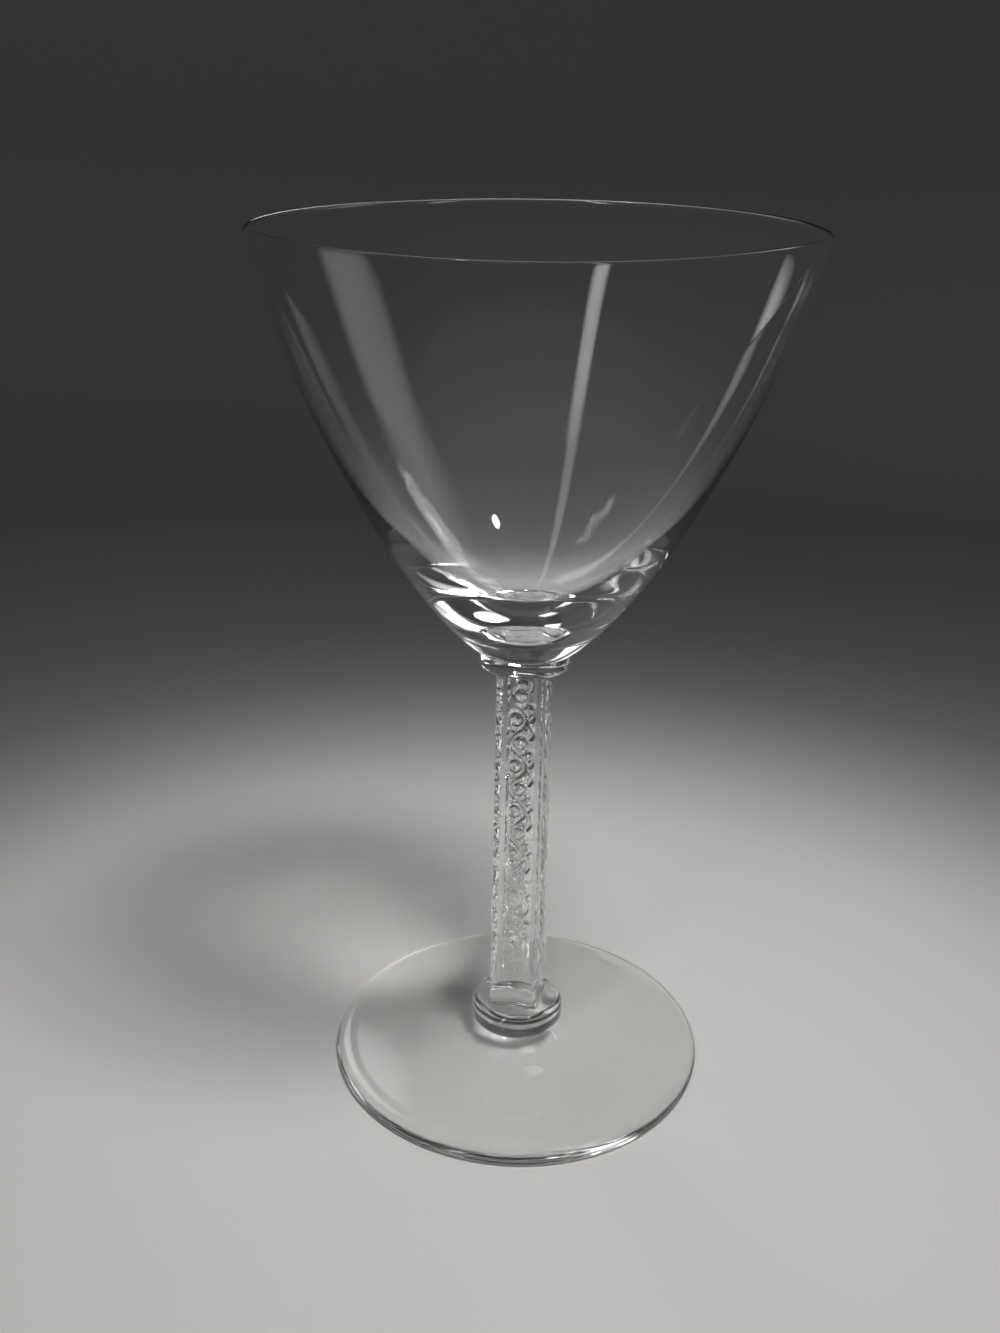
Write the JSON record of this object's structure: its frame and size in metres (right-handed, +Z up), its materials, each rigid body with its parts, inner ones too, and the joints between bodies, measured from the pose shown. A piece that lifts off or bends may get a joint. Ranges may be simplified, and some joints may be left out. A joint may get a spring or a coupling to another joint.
{
  "type": "sherbet glass",
  "caption": "Clear stemmed glass for sherbet: thin V-shaped bowl with a solid bottom, square stem with sunk ornamented panels set between collars, round flat foot.",
  "frame": {"origin": "centre of the foot's underside, on the surface that the glass stands on", "axes": "+Z up the glass's axis to the rim, X and Y square to the faces of the stem"},
  "size_m": [0.09, 0.09, 0.1464],
  "materials": {
    "clear_glass": "polished, colourless crystal glass"
  },
  "bodies": {
    "root": {"foot": "clear_glass", "lower_collar": "clear_glass", "stem": "clear_glass", "upper_collar": "clear_glass", "bowl": "clear_glass"}
  },
  "joints": []
}
